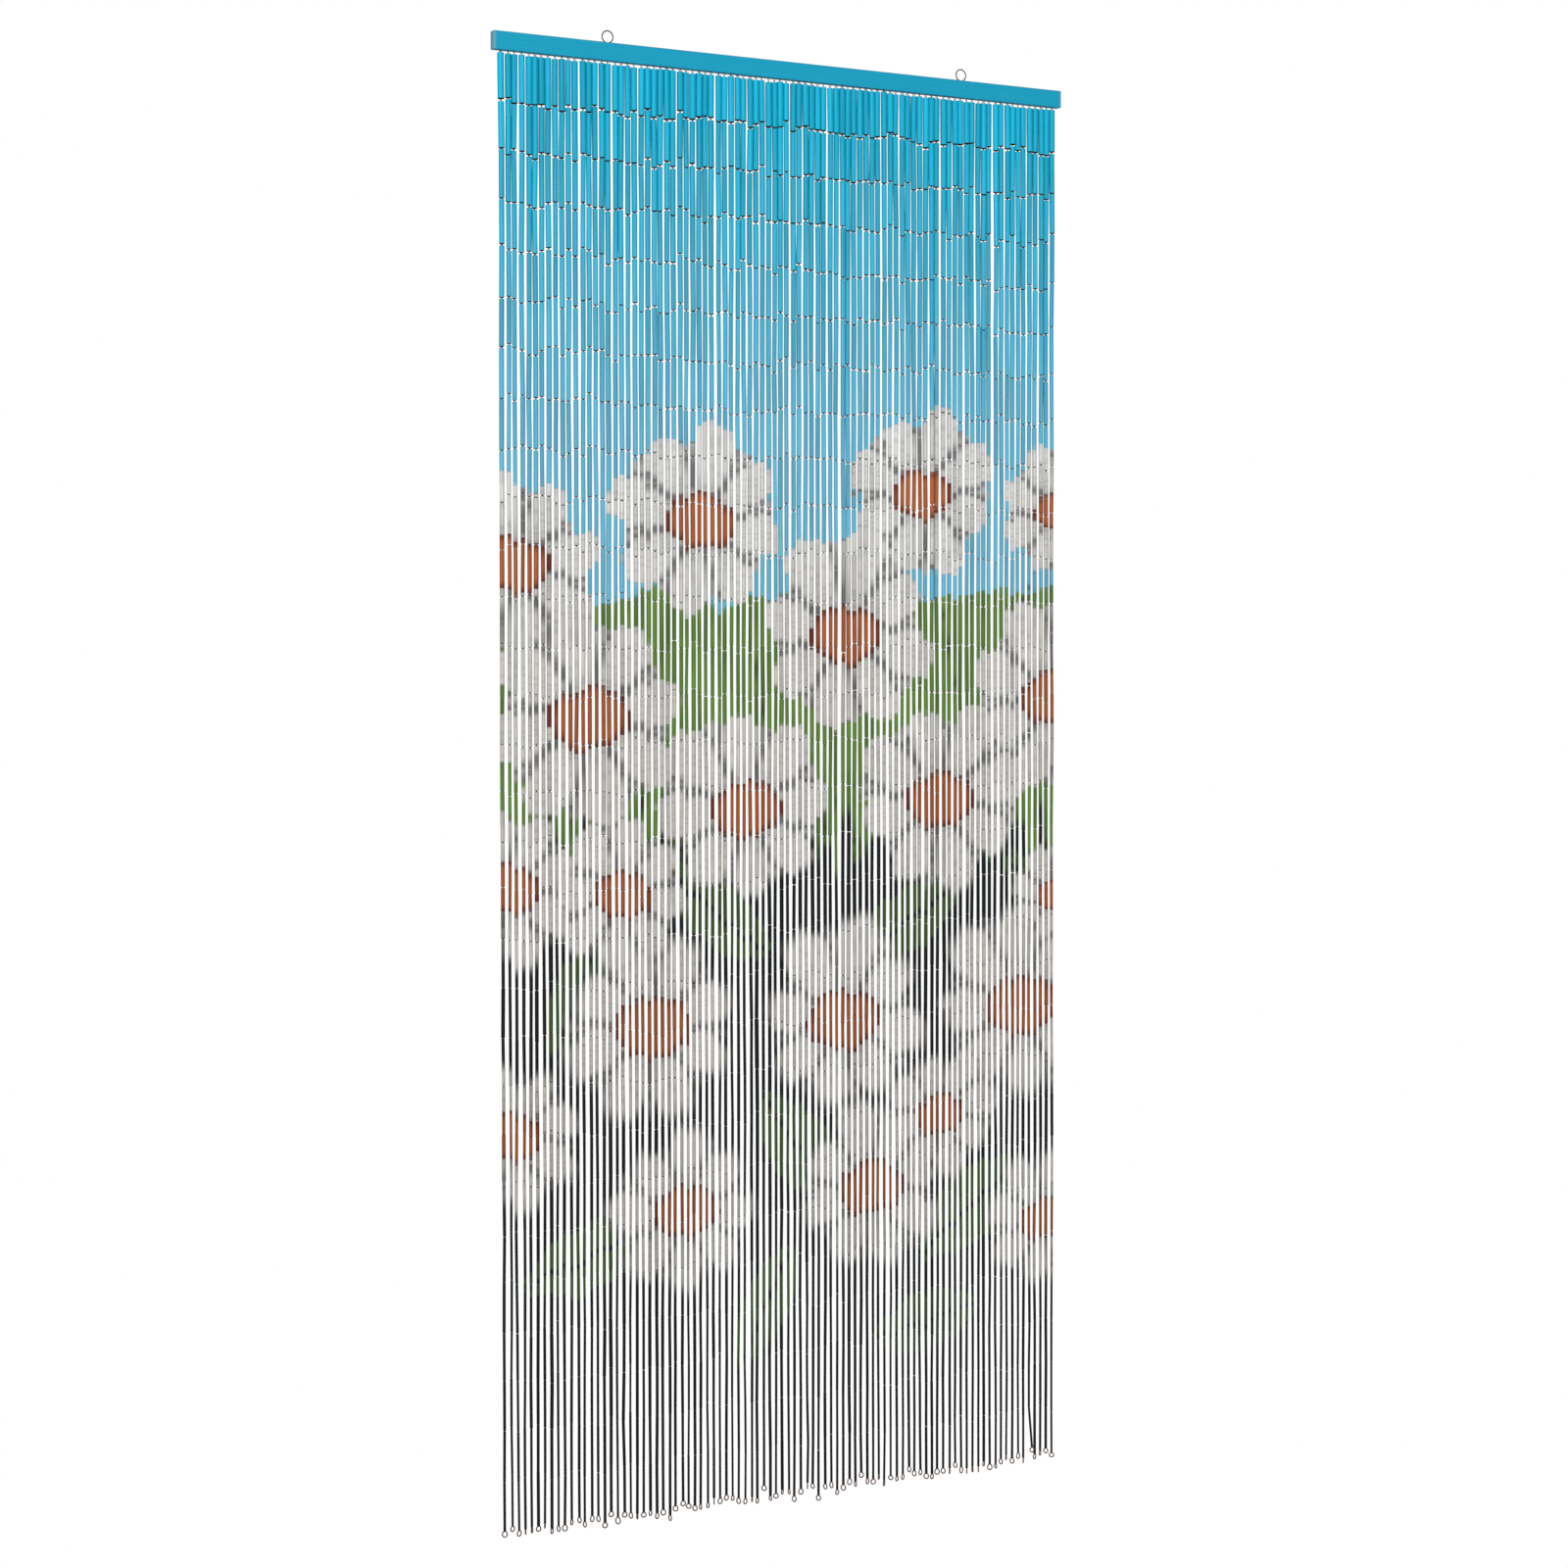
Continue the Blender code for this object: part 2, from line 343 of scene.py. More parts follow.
def make_tubes(top, bottom, along, radius, rng, material):
    """The tubes of a few strands at a time, each piece with its tubes' own tone, ends and strand place."""
    roll = rng.uniform(0, 2 * pi, radius.shape)
    tone = rng.uniform(0, 1, radius.shape)
    # Each tube's band of dark painted shade at its lower end, longer on thicker tubes
    end_shade = END_SHADE_LEAST + END_SHADE_SHARE * (radius - END_SHADE_FROM) * rng.uniform(*END_SHADE_RANGE, radius.shape)
    points = tube_points(top, bottom, along, radius, roll, end_shade)
    # tube_inside is 0 on the outside wall, 0.4 to 0.6 where the ends get dark brown painted shade, and 1 in the
    # bore, which gets near-black painted shade
    inside = np.array((0.0, 0.0, 0.6, 0.6, 1.0, 1.0, 0.4))
    place = np.arange(STRANDS) * STRAND_SPACING - (RAIL_LENGTH / 2 - FIRST_STRAND_FROM_END)
    for start in range(0, STRANDS, STRANDS_IN_PIECE):
        some = slice(start, start + STRANDS_IN_PIECE)
        shape = points[some].shape[:4]
        copies = shape[0] * shape[1]
        quads = wrapped_quads(copies, TUBE_RINGS, TUBE_SIDES, closed=True)
        piece = make_mesh(f"bamboo_tubes_{start + 1:02d}", points[some], quads)
        add_values(piece, "tube_tone", np.broadcast_to(tone[some][..., None, None], shape))
        add_values(piece, "tube_inside", np.broadcast_to(inside[:, None], shape))
        add_values(piece, "strand_place", np.broadcast_to(place[some][:, None, None, None], shape))
        lay_out_tubes(piece, copies, MAP_COLUMNS)
        piece.data.set_sharp_from_angle(angle=radians(40))
        dress(piece, material, "bamboo_paint", "bamboo_strands")


# Wire


def loop_points(start, reach, half_width, away, sideways, wire, steps, sides, pointed=1.0):
    """Loops of wire. Round a loop, the distance along its line goes from start to reach as minus the cosine
    of the turn, and the distance across it is the sine of the turn, times the sine of half the turn where
    the loop is pointed like a teardrop."""
    turn = (np.arange(steps) + 0.5) * 2 * pi / steps
    down = (1 - np.cos(turn)) / 2
    out = np.sin(turn) * (1 - pointed + pointed * np.sin(turn / 2) * 1.3)
    length = np.linalg.norm(reach - start, axis=-1)[..., None, None]
    path = start[..., None, :] + away[..., None, :] * length * down[:, None]
    path = path + sideways[..., None, :] * half_width * out[:, None]
    normal = np.cross(away, sideways)
    ring_normal = np.broadcast_to(normal[..., None, :], path.shape)
    return wire_points(path, ring_normal, wire, sides)


def turned(along, angle):
    """A direction across each line, at an angle about it."""
    side = unit(np.cross(along, np.array((0.0, 1.0, 0.0))))
    front = np.cross(side, along)
    return side * np.cos(angle)[..., None] + front * np.sin(angle)[..., None]


def make_links(rng, top, bottom, along, material):
    """Between two tubes, a loop from each end hooks into the other, with their planes a quarter turn apart.
    Each reaches past its tube's end by half the gap and one radius of the wire."""
    gap = np.linalg.norm(top[:, 1:] - bottom[:, :-1], axis=-1)
    reach = ((gap + 2 * LINK_WIRE) / 2)[..., None]
    plane = rng.uniform(0, pi, gap.shape)
    upper_away = along[:, :-1]
    lower_away = -along[:, 1:]
    upper = loop_points(
        bottom[:, :-1] - upper_away * LINK_START,
        bottom[:, :-1] + upper_away * reach,
        LINK_HALF_WIDTH,
        upper_away,
        turned(upper_away, plane),
        LINK_WIRE,
        LINK_STEPS,
        LINK_SIDES,
    )
    lower = loop_points(
        top[:, 1:] - lower_away * LINK_START,
        top[:, 1:] + lower_away * reach,
        LINK_HALF_WIDTH,
        lower_away,
        turned(lower_away, plane + pi / 2),
        LINK_WIRE,
        LINK_STEPS,
        LINK_SIDES,
    )
    both = np.stack((upper, lower), axis=2)
    group = 3 * STRANDS_IN_PIECE
    for start in range(0, STRANDS, group):
        some = both[start : start + group]
        copies = int(np.prod(some.shape[:3]))
        quads = wrapped_quads(copies, LINK_STEPS, LINK_SIDES, closed=True)
        piece = make_mesh(f"wire_links_{start + 1:02d}", some, quads)
        dress(piece, material, "steel_wire", "bamboo_strands")


def make_end_loops(rng, bottom, along, material):
    """The loop that each strand ends in, turned any way about its strand."""
    away = along[:, -1]
    end = bottom[:, -1]
    reach = rng.normal(END_REACH, END_REACH_SPREAD, (STRANDS, 1))
    points = loop_points(
        end - away * END_START,
        end + away * reach,
        END_HALF_WIDTH,
        away,
        turned(away, rng.uniform(0, pi, STRANDS)),
        END_WIRE,
        END_STEPS,
        WIRE_SIDES,
        END_POINTED,
    )
    quads = wrapped_quads(STRANDS, END_STEPS, WIRE_SIDES, closed=True)
    piece = make_mesh("end_loops", points, quads)
    dress(piece, material, "steel_wire", "bamboo_strands")


def make_hangers(rng, top, along, material):
    """A staple in the rail's underside and the first tube's own loop, hooked into each other."""
    hang = top[:, 0]
    above = np.stack((hang[:, 0], hang[:, 1], np.full(STRANDS, RAIL_BOTTOM)), axis=-1)
    gap = RAIL_BOTTOM - hang[:, 2]
    reach = ((gap + 2 * HANGER_WIRE) / 2)[:, None]
    down = np.broadcast_to(np.array((0.0, 0.0, -1.0)), hang.shape)
    up = -along[:, 0]
    plane = rng.normal(0.0, HANGER_TURN, STRANDS)
    staple = loop_points(
        above - down * HANGER_START,
        above + down * reach,
        STAPLE_HALF_WIDTH,
        down,
        turned(down, plane),
        HANGER_WIRE,
        HANGER_STEPS,
        WIRE_SIDES,
    )
    hook = loop_points(
        hang - up * HANGER_START,
        hang + up * reach,
        HOOK_HALF_WIDTH,
        up,
        turned(up, plane + pi / 2),
        HANGER_WIRE,
        HANGER_STEPS,
        WIRE_SIDES,
    )
    points = np.stack((staple, hook), axis=1)
    quads = wrapped_quads(2 * STRANDS, HANGER_STEPS, WIRE_SIDES, closed=True)
    piece = make_mesh("hanger_wires", points, quads)
    dress(piece, material, "steel_wire", "bamboo_strands")


def make_screw_eye(name, side, material):
    """One wire: up a shank out of the rail, through a bend, and once round a ring. The path is a line, then
    an arc of the ring's radius, and its ends close to a point over two shrinking rings."""
    centre = np.array((side * EYE_FROM_CENTRE, 0.0, EYE_CENTRE))
    lift = np.linspace(0, 1, EYE_SHANK_POINTS, endpoint=False)
    shank = np.zeros((EYE_SHANK_POINTS, 3))
    shank[:, 0] = centre[0]
    shank[:, 2] = RAIL_TOP - EYE_SHANK + lift * (EYE_SHANK - 0.5 * MM)
    turn = -pi / 2 + np.linspace(radians(4), 2 * pi - EYE_END_GAP, EYE_RING_POINTS)
    ring = centre + EYE_RING * np.stack((np.cos(turn), 0 * turn, np.sin(turn)), axis=-1)
    path = np.concatenate((shank, ring))
    run = np.gradient(path, axis=0)
    radius = np.full(len(path), EYE_WIRE)
    ends = np.array(EYE_TIPS)
    path = np.concatenate((path[:1], path[:1], path, path[-1:], path[-1:]))
    run = unit(np.concatenate((run[:1], run[:1], run, run[-1:], run[-1:])))
    radius = np.concatenate((ends[:2] * EYE_WIRE, radius, ends[1::-1] * EYE_WIRE))
    path[0] -= run[0] * 0.5 * MM
    path[1] -= run[1] * 0.35 * MM
    path[-1] += run[-1] * 0.5 * MM
    path[-2] += run[-2] * 0.35 * MM
    normal = np.broadcast_to(np.array((0.0, 1.0, 0.0)), run.shape)
    across = np.cross(normal, run)
    around = np.arange(EYE_SIDES) * 2 * pi / EYE_SIDES
    circle = across[:, None] * np.cos(around)[:, None] + normal[:, None] * np.sin(around)[:, None]
    points = path[:, None] + radius[:, None, None] * circle
    wall = wrapped_quads(1, len(path), EYE_SIDES, closed=False)
    first = lid_quads(0, EYE_SIDES)[:, ::-1]
    last = lid_quads(EYE_SIDES * (len(path) - 1), EYE_SIDES)
    piece = make_mesh(name, points, np.concatenate((wall, first, last)))
    dress(piece, material, "steel_wire", name.replace("wire_", "screw_"))


def dress(piece, material, slot, *nodes):
    """Gives a piece its material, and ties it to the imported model."""
    piece.data.materials.append(material)
    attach(piece, "root")
    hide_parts(*nodes)


# A blossom, in shares of its radius. A ring of petals has a turn, in petals, a length and a depth of notch.
PETALS = 8
FRONT_PETALS = (0.0, 1.0, 0.42)
BACK_PETALS = (0.5, 0.88, 0.50)
PETALS_DIFFER = 0.16
HEART_FLATTENED = (0.82, 1.18)
HEART_EDGE = (0.30, 0.31)
RIM_EDGE = (0.21, 0.30)


# Shader nodes


def srgb(red, green, blue):
    """A colour as a shader wants it, from the 0 to 255 numbers of a screen."""
    parts = [value / 255 for value in (red, green, blue)]
    return (*[part / 12.92 if part < 0.04045 else ((part + 0.055) / 1.055) ** 2.4 for part in parts], 1.0)


def add_node(tree, kind, inputs=None, **settings):
    """A node with its settings made, and each named input linked to a socket or set to a value."""
    node = tree.nodes.new(kind)
    for key, value in settings.items():
        setattr(node, key, value)
    for key, value in (inputs or {}).items():
        if isinstance(value, bpy.types.NodeSocket):
            tree.links.new(value, node.inputs[key])
        else:
            node.inputs[key].default_value = value
    return node


def maths(tree, operation, first, second=0.0, third=0.0):
    node = add_node(tree, "ShaderNodeMath", {0: first, 1: second, 2: third}, operation=operation)
    return node.outputs[0]


def blend_colours(tree, share, first, second, kind="MIX"):
    inputs = {0: share, 6: first, 7: second}
    node = add_node(tree, "ShaderNodeMix", inputs, data_type="RGBA", blend_type=kind)
    return node.outputs[2]


def step_over(tree, value, low, high):
    """0 below low, 1 above high, and smooth between."""
    inputs = {"Value": value, "From Min": low, "From Max": high}
    return add_node(tree, "ShaderNodeMapRange", inputs, interpolation_type="SMOOTHSTEP").outputs[0]


def ramp(tree, value, stops):
    """A colour that runs through (place, colour) stops."""
    node = add_node(tree, "ShaderNodeValToRGB", {"Fac": value})
    elements = node.color_ramp.elements
    for place, colour in stops[2:]:
        elements.new(place)
    for element, (place, colour) in zip(elements, sorted(stops, key=lambda stop: stop[0])):
        element.position = place
        element.color = colour
    return node.outputs["Color"]


def new_group(name, inputs, outputs):
    """An empty group with float, vector or colour sockets. Returns it, its inputs and its output node."""
    group = bpy.data.node_groups.new(name, "ShaderNodeTree")
    kinds = {"float": "NodeSocketFloat", "vector": "NodeSocketVector", "colour": "NodeSocketColor"}
    for socket, kind in inputs.items():
        group.interface.new_socket(socket, in_out="INPUT", socket_type=kinds[kind])
    for socket, kind in outputs.items():
        group.interface.new_socket(socket, in_out="OUTPUT", socket_type=kinds[kind])
    start = group.nodes.new("NodeGroupInput")
    end = group.nodes.new("NodeGroupOutput")
    return group, start.outputs, end


def place_group(tree, group, inputs):
    node = tree.nodes.new("ShaderNodeGroup")
    node.node_tree = group
    for key, value in inputs.items():
        if isinstance(value, bpy.types.NodeSocket):
            tree.links.new(value, node.inputs[key])
        else:
            node.inputs[key].default_value = value
    return node.outputs


def petal_mask(tree, angle, reach, shift, length, notch):
    """A ring of petals: how far a place lies inside the petals' edge, which is each petal's own length, up to
    PETALS_DIFFER short of length, less notch times the cube of how far the angle is from the petal's middle.
    Also returns that distance from the middle, 0 to 1."""
    turns = maths(tree, "MULTIPLY_ADD", angle, PETALS / (2 * pi), shift)
    share = maths(tree, "FRACT", turns)
    off = maths(tree, "MULTIPLY", maths(tree, "ABSOLUTE", maths(tree, "SUBTRACT", share, 0.5)), 2.0)
    which = maths(tree, "FLOOR", turns)
    odd = add_node(tree, "ShaderNodeTexWhiteNoise", {"W": which}, noise_dimensions="1D").outputs["Value"]
    own = maths(tree, "MULTIPLY_ADD", odd, PETALS_DIFFER, length - PETALS_DIFFER)
    edge = maths(tree, "SUBTRACT", own, maths(tree, "MULTIPLY", maths(tree, "POWER", off, 3.0), notch))
    return maths(tree, "SUBTRACT", edge, reach), off


def make_blossom_group():
    """A round blossom: two rings of broad petals about an oval heart. Distances are shares of its radius, the
    petals' edges fade over the given softness, and it is turned by an angle that its centre sets."""
    inputs = {"Across": "float", "Up": "float", "Which": "vector", "Softness": "float"}
    outputs = {"Petals": "float", "Shade": "float", "Heart": "float", "Rim": "float"}
    group, given, end = new_group("blossom", inputs, outputs)
    which = add_node(group, "ShaderNodeSeparateXYZ", {0: given["Which"]}).outputs
    across = maths(group, "SUBTRACT", given["Across"], which[0])
    up = maths(group, "SUBTRACT", given["Up"], which[2])
    square = maths(group, "MULTIPLY_ADD", across, across, maths(group, "MULTIPLY", up, up))
    reach = maths(group, "DIVIDE", maths(group, "SQRT", square), which[1])
    turn = maths(group, "MULTIPLY", which[0], 7.0)
    angle = maths(group, "ADD", maths(group, "ARCTAN2", up, across), turn)
    inside, off = petal_mask(group, angle, reach, *FRONT_PETALS)
    inside_back = petal_mask(group, angle, reach, *BACK_PETALS)[0]
    front = step_over(group, inside, 0.0, given["Softness"])
    petals = maths(group, "MAXIMUM", front, step_over(group, inside_back, 0.0, given["Softness"]))
    fold = maths(group, "MULTIPLY", step_over(group, off, 0.60, 0.96), front)
    near = maths(group, "SUBTRACT", 1.0, step_over(group, inside, -0.22, 0.0))
    behind = maths(group, "MULTIPLY_ADD", near, -0.55, 1.0)
    behind = maths(group, "MULTIPLY", maths(group, "SUBTRACT", 1.0, front), behind)
    root = maths(group, "SUBTRACT", 1.0, step_over(group, reach, 0.24, 0.5))
    vein = maths(group, "SINE", maths(group, "MULTIPLY", off, 17.0))
    vein = maths(group, "MULTIPLY", step_over(group, vein, 0.55, 1.0), 0.20)
    shade = maths(group, "MAXIMUM", maths(group, "MAXIMUM", fold, behind), vein)
    shade = maths(group, "MULTIPLY_ADD", root, 0.3, shade)
    wide = maths(group, "MULTIPLY", across, HEART_FLATTENED[0])
    flat = maths(group, "MULTIPLY", up, HEART_FLATTENED[1])
    oval = maths(group, "MULTIPLY_ADD", wide, wide, maths(group, "MULTIPLY", flat, flat))
    oval = maths(group, "DIVIDE", maths(group, "SQRT", oval), which[1])
    heart = maths(group, "SUBTRACT", 1.0, step_over(group, oval, *HEART_EDGE))
    rim = step_over(group, oval, *RIM_EDGE)
    for name, value in zip(outputs, (petals, shade, heart, rim)):
        group.links.new(value, end.inputs[name])
    return group


def make_leaf_group():
    """A pointed leaf: inside where the distance across is under its width times one less the square of the
    distance along. Distances are shares of its half length, and it stands at an angle."""
    inputs = {"Across": "float", "Up": "float", "Centre X": "float", "Centre Z": "float"}
    inputs |= {"Half Length": "float", "Width": "float", "Turn": "float"}
    outputs = {"Leaf": "float", "Vein": "float"}
    group, given, end = new_group("leaf", inputs, outputs)
    across = maths(group, "SUBTRACT", given["Across"], given["Centre X"])
    up = maths(group, "SUBTRACT", given["Up"], given["Centre Z"])
    cosine = maths(group, "COSINE", given["Turn"])
    sine = maths(group, "SINE", given["Turn"])
    along = maths(group, "MULTIPLY_ADD", across, cosine, maths(group, "MULTIPLY", up, sine))
    aside = maths(group, "MULTIPLY", across, sine)
    out = maths(group, "SUBTRACT", maths(group, "MULTIPLY", up, cosine), aside)
    along = maths(group, "DIVIDE", along, given["Half Length"])
    out = maths(group, "ABSOLUTE", maths(group, "DIVIDE", out, given["Half Length"]))
    edge = maths(group, "SUBTRACT", 1.0, maths(group, "MULTIPLY", along, along))
    edge = maths(group, "MULTIPLY", edge, given["Width"])
    leaf = step_over(group, maths(group, "SUBTRACT", edge, out), 0.0, 0.05)
    vein = maths(group, "SUBTRACT", 1.0, step_over(group, out, 0.01, 0.05))
    group.links.new(leaf, end.inputs["Leaf"])
    group.links.new(vein, end.inputs["Vein"])
    return group


# Picture on the strands: white blossoms over a meadow. Each row of a table is one motif.

# Blossoms, in layers from back to front: centre x and z, and radius
BLOSSOM_LAYERS = (
    (
        (0.215, -0.610, 0.135),
        (-0.420, -0.720, 0.145),
        (0.440, -0.900, 0.155),
        (-0.070, -1.050, 0.155),
        (-0.430, -1.150, 0.130),
        (0.385, -1.345, 0.170),
        (0.130, -1.590, 0.150),
        (-0.165, -1.600, 0.140),
    ),
    (
        (-0.140, -0.655, 0.150),
        (0.445, -0.630, 0.105),
        (-0.310, -0.925, 0.168),
        (0.245, -1.045, 0.157),
        (0.440, -1.190, 0.085),
        (-0.215, -1.345, 0.165),
        (0.245, -1.495, 0.115),
        (0.425, -1.660, 0.120),
    ),
    (
        (0.090, -0.810, 0.160),
        (-0.260, -1.165, 0.125),
        (0.085, -1.350, 0.165),
        (-0.425, -1.480, 0.125),
    ),
)

# Leaves in the shade below: centre x and z, half length, width, turn
LEAVES = (
    (0.190, -1.215, 0.110, 0.42, 0.5),
    (-0.120, -1.190, 0.120, 0.38, 2.5),
    (-0.330, -1.300, 0.100, 0.40, 1.2),
    (0.420, -1.190, 0.100, 0.40, -0.8),
    (0.300, -1.630, 0.120, 0.45, 0.6),
    (0.010, -1.520, 0.100, 0.50, -0.9),
    (-0.310, -1.650, 0.115, 0.42, 0.3),
    (-0.040, -1.740, 0.100, 0.40, 1.1),
    (0.220, -1.790, 0.100, 0.45, 0.2),
)

# Stems behind the upper blossoms, as slender leaves
STEMS = (
    (-0.050, -0.880, 0.100, 0.050, 1.72),
    (0.262, -0.835, 0.110, 0.045, 1.78),
    (0.385, -0.765, 0.070, 0.060, 1.15),
)

# Depths under the hang line: the sky's, and where the meadow, undergrowth, soil and soft petals set in
SKY_DEPTH = 0.8
MEADOW_EDGE = (0.755, 0.76)
UNDERGROWTH_EDGE = (1.07, 1.12)
SOIL_EDGE = (1.72, 1.90)
SOFT_EDGE = (0.95, 1.35)
PICTURE_DEPTH = 2.0

# How far noise moves those edges, how soft petals are, and how much of a leaf covers what is behind it
RAGGED = 0.16
BLADES = 0.30
CRISP = 0.03
SOFTER = 0.17
LEAF_COVER = 0.75

# Colours
SKY_STOPS = (
    (0.00, srgb(6, 172, 207)),
    (0.15, srgb(20, 170, 202)),
    (0.35, srgb(50, 170, 200)),
    (0.70, srgb(90, 172, 200)),
    (1.00, srgb(95, 170, 196)),
)
MEADOW = srgb(92, 128, 52)
MEADOW_SHADE = srgb(74, 108, 45)
STEM = srgb(30, 44, 34)
UNDERGROWTH = srgb(13, 18, 20)
SOIL = srgb(18, 17, 16)
LEAF = srgb(62, 88, 38)
PETAL = srgb(204, 203, 200)
PETAL_SHADE = srgb(110, 109, 109)
HEART = srgb(168, 92, 50)
HEART_RIM = srgb(100, 42, 28)

# How much darker the blossoms grow down the curtain: share of the picture's depth, and the tint
DUSK = (
    (0.28, srgb(255, 255, 255)),
    (0.42, srgb(238, 235, 231)),
    (0.68, srgb(222, 217, 212)),
    (0.76, srgb(213, 208, 203)),
    (0.84, srgb(198, 193, 188)),
)


def pick_blossom(tree, across, up, blossoms):
    """The centre (x and z) and radius (y) of the blossom that a place lies in, or of one that is far off."""
    picked = (0.0, 0.1, 9.0)
    for x, z, radius in blossoms:
        aside = maths(tree, "SUBTRACT", across, x)
        above = maths(tree, "SUBTRACT", up, z)
        square = maths(tree, "MULTIPLY_ADD", aside, aside, maths(tree, "MULTIPLY", above, above))
        inside = maths(tree, "LESS_THAN", square, radius * radius)
        inputs = {"Factor": inside, 4: picked, 5: (x, radius, z)}
        picked = add_node(tree, "ShaderNodeMix", inputs, data_type="VECTOR").outputs[1]
    return picked


def make_picture_group():
    """Sky down to the meadow, undergrowth and soil, then stems, leaves and blossoms laid over in turn."""
    outputs = {"Colour": "colour"}
    group, given, end = new_group("picture", {"Across": "float", "Up": "float"}, outputs)
    across = given["Across"]
    up = given["Up"]
    spot = add_node(group, "ShaderNodeCombineXYZ", {"X": across, "Z": up}).outputs[0]
    rough = add_node(group, "ShaderNodeTexNoise", {"Vector": spot, "Scale": 14.0, "Detail": 3.0})
    ragged = maths(group, "MULTIPLY_ADD", rough.outputs[0], RAGGED, -RAGGED / 2)
    height = maths(group, "ADD", up, ragged)
    low = maths(group, "MULTIPLY", height, -1.0)
    colour = ramp(group, maths(group, "DIVIDE", low, SKY_DEPTH), SKY_STOPS)
    blades = add_node(group, "ShaderNodeCombineXYZ", {"X": maths(group, "MULTIPLY", across, 9.0), "Z": up})
    grass = add_node(group, "ShaderNodeTexNoise", {"Vector": blades.outputs[0], "Scale": 7.0, "Detail": 2.0})
    meadow = blend_colours(group, step_over(group, grass.outputs[0], 0.45, 0.62), MEADOW, MEADOW_SHADE)
    colour = blend_colours(group, step_over(group, low, *MEADOW_EDGE), colour, meadow)
    dark = maths(group, "MULTIPLY_ADD", grass.outputs[0], BLADES, maths(group, "ADD", low, -BLADES / 2))
    colour = blend_colours(group, step_over(group, dark, *UNDERGROWTH_EDGE), colour, UNDERGROWTH)
    leaf_group = make_leaf_group()
    greens = [(stem, STEM, STEM) for stem in STEMS] + [(leaf, LEAF, UNDERGROWTH) for leaf in LEAVES]
    for (x, z, half_length, width, turn), blade, vein in greens:
        inputs = {"Across": across, "Up": up, "Centre X": x, "Centre Z": z}
        inputs |= {"Half Length": half_length, "Width": width, "Turn": turn}
        leaf = place_group(group, leaf_group, inputs)
        green = blend_colours(group, leaf["Vein"], blade, vein)
        colour = blend_colours(group, maths(group, "MULTIPLY", leaf["Leaf"], LEAF_COVER), colour, green)
    colour = blend_colours(group, step_over(group, low, *SOIL_EDGE), colour, SOIL)
    blossom_group = make_blossom_group()
    dusk = ramp(group, maths(group, "DIVIDE", low, PICTURE_DEPTH), DUSK)
    softness = maths(group, "MULTIPLY_ADD", step_over(group, low, *SOFT_EDGE), SOFTER, CRISP)
    for blossoms in BLOSSOM_LAYERS:
        which = pick_blossom(group, across, up, blossoms)
        inputs = {"Across": across, "Up": up, "Which": which, "Softness": softness}
        blossom = place_group(group, blossom_group, inputs)
        petals = blend_colours(group, blossom["Shade"], PETAL, PETAL_SHADE)
        heart = blend_colours(group, blossom["Rim"], HEART, HEART_RIM)
        whole = blend_colours(group, blossom["Heart"], petals, heart)
        whole = blend_colours(group, 1.0, whole, dusk, kind="MULTIPLY")
        colour = blend_colours(group, blossom["Petals"], colour, whole)
    group.links.new(colour, end.inputs["Colour"])
    return group


def make_grain_group():
    """Fibres along the piece: noise that is stretched along one direction, as a value from 0 to 1."""
    inputs = {"Place": "vector", "Across": "float", "Along": "float"}
    group, given, end = new_group("grain", inputs, {"Fibres": "float"})
    parts = add_node(group, "ShaderNodeSeparateXYZ", {0: given["Place"]}).outputs
    x = maths(group, "MULTIPLY", parts[0], given["Across"])
    y = maths(group, "MULTIPLY", parts[1], given["Across"])
    z = maths(group, "MULTIPLY", parts[2], given["Along"])
    spot = add_node(group, "ShaderNodeCombineXYZ", {0: x, 1: y, 2: z}).outputs[0]
    noise = add_node(group, "ShaderNodeTexNoise", {"Vector": spot, "Scale": 1.0, "Detail": 4.0})
    group.links.new(noise.outputs[0], end.inputs["Fibres"])
    return group


def new_material(name):
    material = bpy.data.materials.new(name)
    material.use_nodes = True
    tree = material.node_tree
    return material, tree, tree.nodes["Principled BSDF"]


def connect(tree, shader, **sockets):
    """Links or sets the shader's sockets, named with _ for a space."""
    for key, value in sockets.items():
        socket = shader.inputs[key.replace("_", " ")]
        if isinstance(value, bpy.types.NodeSocket):
            tree.links.new(value, socket)
        else:
            socket.default_value = value


# Paint on bamboo: how far the picture slips from strand to strand, and how much tones and fibres differ
PAINT_SLIP = 0.012
TONE_LEAST = 0.82
TONE_RANGE = 0.28
FIBRE_CONTRAST = 0.25
STREAK_CONTRAST = 0.60


